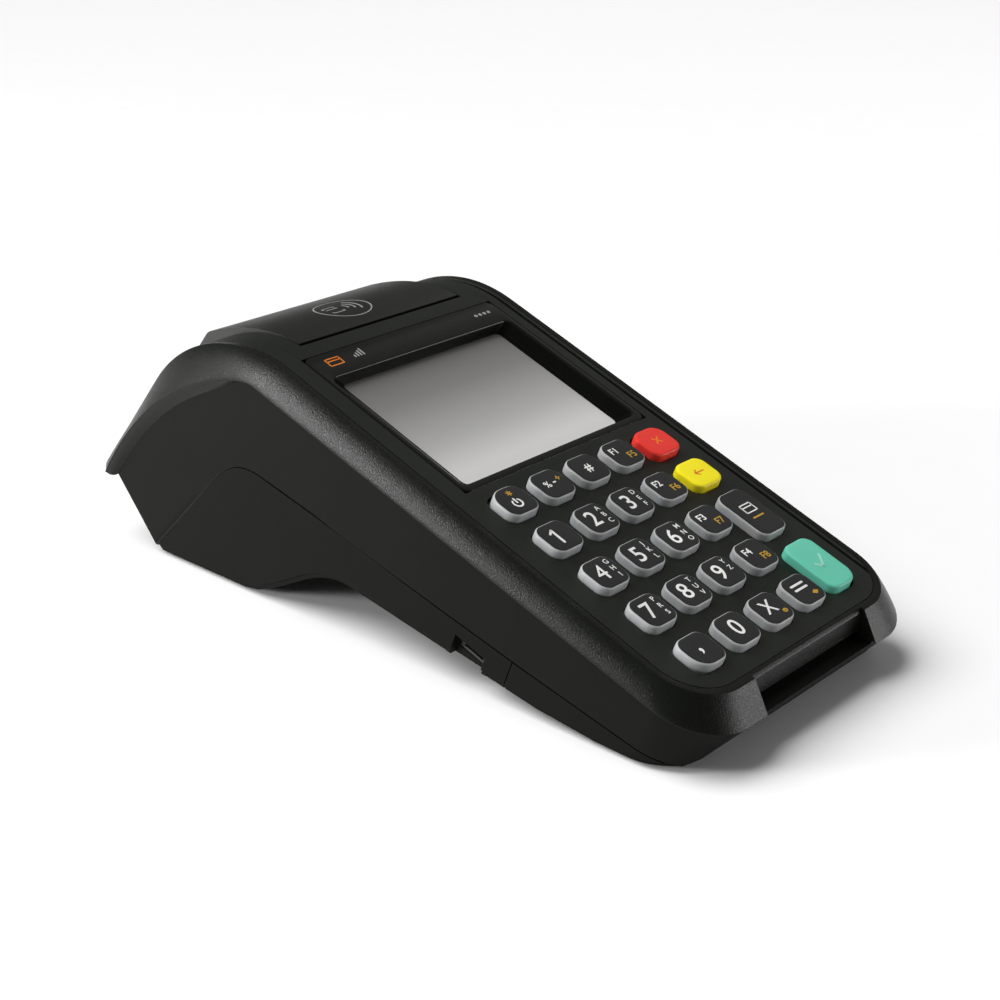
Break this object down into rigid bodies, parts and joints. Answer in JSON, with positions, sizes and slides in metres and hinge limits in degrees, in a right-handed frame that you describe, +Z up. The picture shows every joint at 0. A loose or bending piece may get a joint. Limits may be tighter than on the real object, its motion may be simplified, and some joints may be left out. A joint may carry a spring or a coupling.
{
  "type": "card payment terminal",
  "caption": "Countertop card payment terminal with a tilted keypad, recessed display, receipt printer under a hinged cover, chip-card slot and magnetic-stripe swipe groove.",
  "frame": {"origin": "centre of the footprint, on the surface the terminal stands on", "axes": "+X to the user's right, +Y from the keypad towards the printer, +Z up"},
  "size_m": [0.1092, 0.2416, 0.0797],
  "materials": {
    "shell_black": "fine spark-eroded grain, near black with a warm grey sheen",
    "shell_lower": "fine spark-eroded grain, near black",
    "cover_black": "very fine grain, satin",
    "panel_black": "smooth satin inlay",
    "bezel_gloss": "glossy black walls",
    "display_glass": "unlit grey display behind glass",
    "key_dark": "dark printed top over translucent grey sides",
    "key_red": "satin red",
    "key_yellow": "satin yellow",
    "key_green": "satin sea green",
    "foot_rubber": "matt rubber",
    "silicone": "matt silicone",
    "inner_plastic": "moulded, fine grain",
    "lcd_metal": "thin stamped frame",
    "board_green": "solder-masked board",
    "contact_gold": "plated contacts",
    "steel": "brushed",
    "heat_aluminium": "satin",
    "gear_plastic": "moulded acetal",
    "platen_rubber": "ground rubber",
    "thermal_paper": "smooth white paper edge",
    "battery_blue": "shrink-wrapped pack",
    "antenna_copper": "etched copper loop"
  },
  "bodies": {
    "housing": {"upper_housing": "shell_black", "lower_housing": "shell_lower", "rear_feet": "foot_rubber", "top_panel": "panel_black", "display_bezel": "bezel_gloss", "display_window": "display_glass", "lcd_module": "lcd_metal", "key_mat": "silicone", "keypad_board": "board_green", "card_reader": "inner_plastic", "chip_contacts": "contact_gold", "swipe_track": "inner_plastic", "mag_head": "steel", "main_board": "board_green", "printer_frame": "inner_plastic", "thermal_head": "heat_aluminium", "printer_motor": "steel", "cover_hinge_pin": "steel", "printer_surround": "panel_black", "tear_bar": "steel", "battery_pack": "battery_blue", "battery_contacts": "contact_gold", "port_socket": "inner_plastic", "contactless_antenna": "antenna_copper", "speaker": "inner_plastic", "sim_socket": "steel", "coin_cell": "steel", "housing_screws": "steel"},
    "battery_cover": {"battery_cover": "shell_lower", "front_feet": "foot_rubber"},
    "cover": {"paper_cover": "cover_black"},
    "platen": {"platen_roller": "platen_rubber", "platen_gear": "gear_plastic"},
    "drive": {"drive_gear": "gear_plastic"},
    "roll": {"paper_roll": "thermal_paper"},
    "key_power": {"key_power": "key_dark"},
    "key_percent": {"key_percent": "key_dark"},
    "key_plu": {"key_plu": "key_dark"},
    "key_f1": {"key_f1": "key_dark"},
    "key_cancel": {"key_cancel": "key_red"},
    "key_1": {"key_1": "key_dark"},
    "key_2": {"key_2": "key_dark"},
    "key_3": {"key_3": "key_dark"},
    "key_f2": {"key_f2": "key_dark"},
    "key_clear": {"key_clear": "key_yellow"},
    "key_4": {"key_4": "key_dark"},
    "key_5": {"key_5": "key_dark"},
    "key_6": {"key_6": "key_dark"},
    "key_f3": {"key_f3": "key_dark"},
    "key_tall": {"key_tall": "key_dark"},
    "key_7": {"key_7": "key_dark"},
    "key_8": {"key_8": "key_dark"},
    "key_9": {"key_9": "key_dark"},
    "key_f4": {"key_f4": "key_dark"},
    "key_enter": {"key_enter": "key_green"},
    "key_comma": {"key_comma": "key_dark"},
    "key_0": {"key_0": "key_dark"},
    "key_x": {"key_x": "key_dark"},
    "key_total": {"key_total": "key_dark"}
  },
  "joints": [
    {"name": "key_power_press", "type": "slide", "parent": "housing", "child": "key_power", "axis": [0, 0.3338, -0.9426], "range_m": [0, 0.0008], "stiffness_N_per_m": 1200},
    {"name": "key_percent_press", "type": "slide", "parent": "housing", "child": "key_percent", "axis": [0, 0.3338, -0.9426], "range_m": [0, 0.0008], "stiffness_N_per_m": 1200},
    {"name": "key_plu_press", "type": "slide", "parent": "housing", "child": "key_plu", "axis": [0, 0.3338, -0.9426], "range_m": [0, 0.0008], "stiffness_N_per_m": 1200},
    {"name": "key_f1_press", "type": "slide", "parent": "housing", "child": "key_f1", "axis": [0, 0.3338, -0.9426], "range_m": [0, 0.0008], "stiffness_N_per_m": 1200},
    {"name": "key_cancel_press", "type": "slide", "parent": "housing", "child": "key_cancel", "axis": [0, 0.3338, -0.9426], "range_m": [0, 0.0008], "stiffness_N_per_m": 1200},
    {"name": "key_1_press", "type": "slide", "parent": "housing", "child": "key_1", "axis": [0, 0.3338, -0.9426], "range_m": [0, 0.0008], "stiffness_N_per_m": 1200},
    {"name": "key_2_press", "type": "slide", "parent": "housing", "child": "key_2", "axis": [0, 0.3338, -0.9426], "range_m": [0, 0.0008], "stiffness_N_per_m": 1200},
    {"name": "key_3_press", "type": "slide", "parent": "housing", "child": "key_3", "axis": [0, 0.3338, -0.9426], "range_m": [0, 0.0008], "stiffness_N_per_m": 1200},
    {"name": "key_f2_press", "type": "slide", "parent": "housing", "child": "key_f2", "axis": [0, 0.3338, -0.9426], "range_m": [0, 0.0008], "stiffness_N_per_m": 1200},
    {"name": "key_clear_press", "type": "slide", "parent": "housing", "child": "key_clear", "axis": [0, 0.3338, -0.9426], "range_m": [0, 0.0008], "stiffness_N_per_m": 1200},
    {"name": "key_4_press", "type": "slide", "parent": "housing", "child": "key_4", "axis": [0, 0.3338, -0.9426], "range_m": [0, 0.0008], "stiffness_N_per_m": 1200},
    {"name": "key_5_press", "type": "slide", "parent": "housing", "child": "key_5", "axis": [0, 0.3338, -0.9426], "range_m": [0, 0.0008], "stiffness_N_per_m": 1200},
    {"name": "key_6_press", "type": "slide", "parent": "housing", "child": "key_6", "axis": [0, 0.3338, -0.9426], "range_m": [0, 0.0008], "stiffness_N_per_m": 1200},
    {"name": "key_f3_press", "type": "slide", "parent": "housing", "child": "key_f3", "axis": [0, 0.3338, -0.9426], "range_m": [0, 0.0008], "stiffness_N_per_m": 1200},
    {"name": "key_tall_press", "type": "slide", "parent": "housing", "child": "key_tall", "axis": [0, 0.3338, -0.9426], "range_m": [0, 0.0008], "stiffness_N_per_m": 1200},
    {"name": "key_7_press", "type": "slide", "parent": "housing", "child": "key_7", "axis": [0, 0.3338, -0.9426], "range_m": [0, 0.0008], "stiffness_N_per_m": 1200},
    {"name": "key_8_press", "type": "slide", "parent": "housing", "child": "key_8", "axis": [0, 0.3338, -0.9426], "range_m": [0, 0.0008], "stiffness_N_per_m": 1200},
    {"name": "key_9_press", "type": "slide", "parent": "housing", "child": "key_9", "axis": [0, 0.3338, -0.9426], "range_m": [0, 0.0008], "stiffness_N_per_m": 1200},
    {"name": "key_f4_press", "type": "slide", "parent": "housing", "child": "key_f4", "axis": [0, 0.3338, -0.9426], "range_m": [0, 0.0008], "stiffness_N_per_m": 1200},
    {"name": "key_enter_press", "type": "slide", "parent": "housing", "child": "key_enter", "axis": [0, 0.3338, -0.9426], "range_m": [0, 0.0008], "stiffness_N_per_m": 1200},
    {"name": "key_comma_press", "type": "slide", "parent": "housing", "child": "key_comma", "axis": [0, 0.3338, -0.9426], "range_m": [0, 0.0008], "stiffness_N_per_m": 1200},
    {"name": "key_0_press", "type": "slide", "parent": "housing", "child": "key_0", "axis": [0, 0.3338, -0.9426], "range_m": [0, 0.0008], "stiffness_N_per_m": 1200},
    {"name": "key_x_press", "type": "slide", "parent": "housing", "child": "key_x", "axis": [0, 0.3338, -0.9426], "range_m": [0, 0.0008], "stiffness_N_per_m": 1200},
    {"name": "key_total_press", "type": "slide", "parent": "housing", "child": "key_total", "axis": [0, 0.3338, -0.9426], "range_m": [0, 0.0008], "stiffness_N_per_m": 1200},
    {"name": "cover_hinge", "type": "hinge", "parent": "housing", "child": "cover", "pos_m": [0, 0.10606, 0.03689], "axis": [-1, 0, 0], "range_deg": [0, 95]},
    {"name": "platen_spin", "type": "hinge", "parent": "cover", "child": "platen", "pos_m": [0, 0.05216, 0.06925], "axis": [1, 0, 0], "continuous": true},
    {"name": "drive_spin", "type": "hinge", "parent": "housing", "child": "drive", "pos_m": [0, 0.04635, 0.05931], "axis": [1, 0, 0], "continuous": true},
    {"name": "roll_spin", "type": "hinge", "parent": "housing", "child": "roll", "pos_m": [0, 0.06713, 0.04644], "axis": [1, 0, 0], "continuous": true},
    {"name": "battery_cover_slide", "type": "slide", "parent": "housing", "child": "battery_cover", "axis": [0, -0.9737, -0.2278], "range_m": [0, 0.03]}
  ],
  "couplings": [
    {"joint": "drive_spin", "follows": "platen_spin", "ratio": -0.58333}
  ]
}
